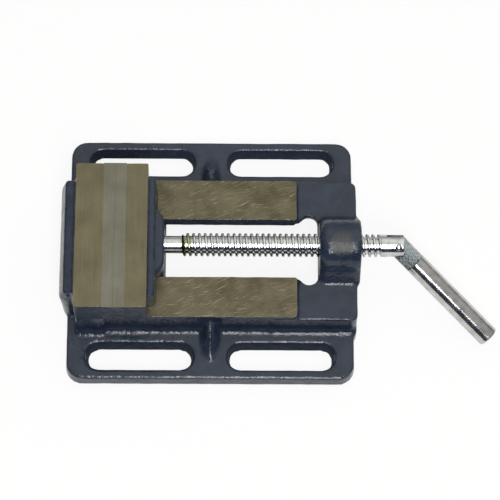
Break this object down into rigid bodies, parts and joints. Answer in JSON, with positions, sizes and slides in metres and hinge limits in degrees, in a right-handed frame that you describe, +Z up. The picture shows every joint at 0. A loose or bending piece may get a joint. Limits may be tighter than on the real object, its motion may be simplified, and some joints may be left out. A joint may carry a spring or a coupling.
{
  "type": "drill press vise",
  "caption": "Drill press vise with a slotted cast base, ground ways, a sliding jaw, a trapezoidal lead screw and a folding handle.",
  "frame": {"origin": "on the underside of the base, below the lead screw, in the plane where the two jaw plates meet", "axes": "+X along the lead screw from the jaws to the handle, +Z up, +Y across the jaws"},
  "size_m": [0.3038, 0.178, 0.06],
  "materials": {
    "slate_blue_enamel": "glossy enamel on a sand casting, ground bare on the ways and jaw tops",
    "ground_jaw_steel": "surface ground",
    "zinc_plated_steel": "bright zinc plate",
    "chromed_handle_steel": "bright chrome plate",
    "black_oxide_steel": "black oxide",
    "plain_steel": "plain"
  },
  "bodies": {
    "base": {"base_casting": "slate_blue_enamel", "fixed_jaw_plate": "ground_jaw_steel", "fixed_plate_screw_1": "black_oxide_steel", "fixed_plate_screw_2": "black_oxide_steel"},
    "sliding_jaw": {"moving_jaw": "slate_blue_enamel", "moving_jaw_plate": "ground_jaw_steel", "moving_plate_screw_1": "black_oxide_steel", "moving_plate_screw_2": "black_oxide_steel", "screw_retaining_pin_1": "plain_steel", "screw_retaining_pin_2": "plain_steel", "keeper_plate": "plain_steel", "keeper_bolt_1": "zinc_plated_steel", "keeper_bolt_2": "zinc_plated_steel", "keeper_spring_washer_1": "zinc_plated_steel", "keeper_spring_washer_2": "zinc_plated_steel"},
    "screw": {"lead_screw": "zinc_plated_steel", "hinge_pin": "zinc_plated_steel"},
    "handle": {"handle": "chromed_handle_steel"}
  },
  "joints": [
    {"name": "jaw_slide", "type": "slide", "parent": "base", "child": "sliding_jaw", "axis": [1, 0, 0], "range_m": [0, 0.096]},
    {"name": "screw_turn", "type": "hinge", "parent": "sliding_jaw", "child": "screw", "pos_m": [0.1, 0, 0.04], "axis": [1, 0, 0], "range_deg": [-0.5, 8640.5]},
    {"name": "handle_fold", "type": "hinge", "parent": "screw", "child": "handle", "pos_m": [0.1955, 0, 0.04], "axis": [0, -0.5158, 0.8567], "range_deg": [-45, 135]}
  ],
  "couplings": [
    {"joint": "screw_turn", "follows": "jaw_slide", "rad_per_m": 1570.8}
  ]
}
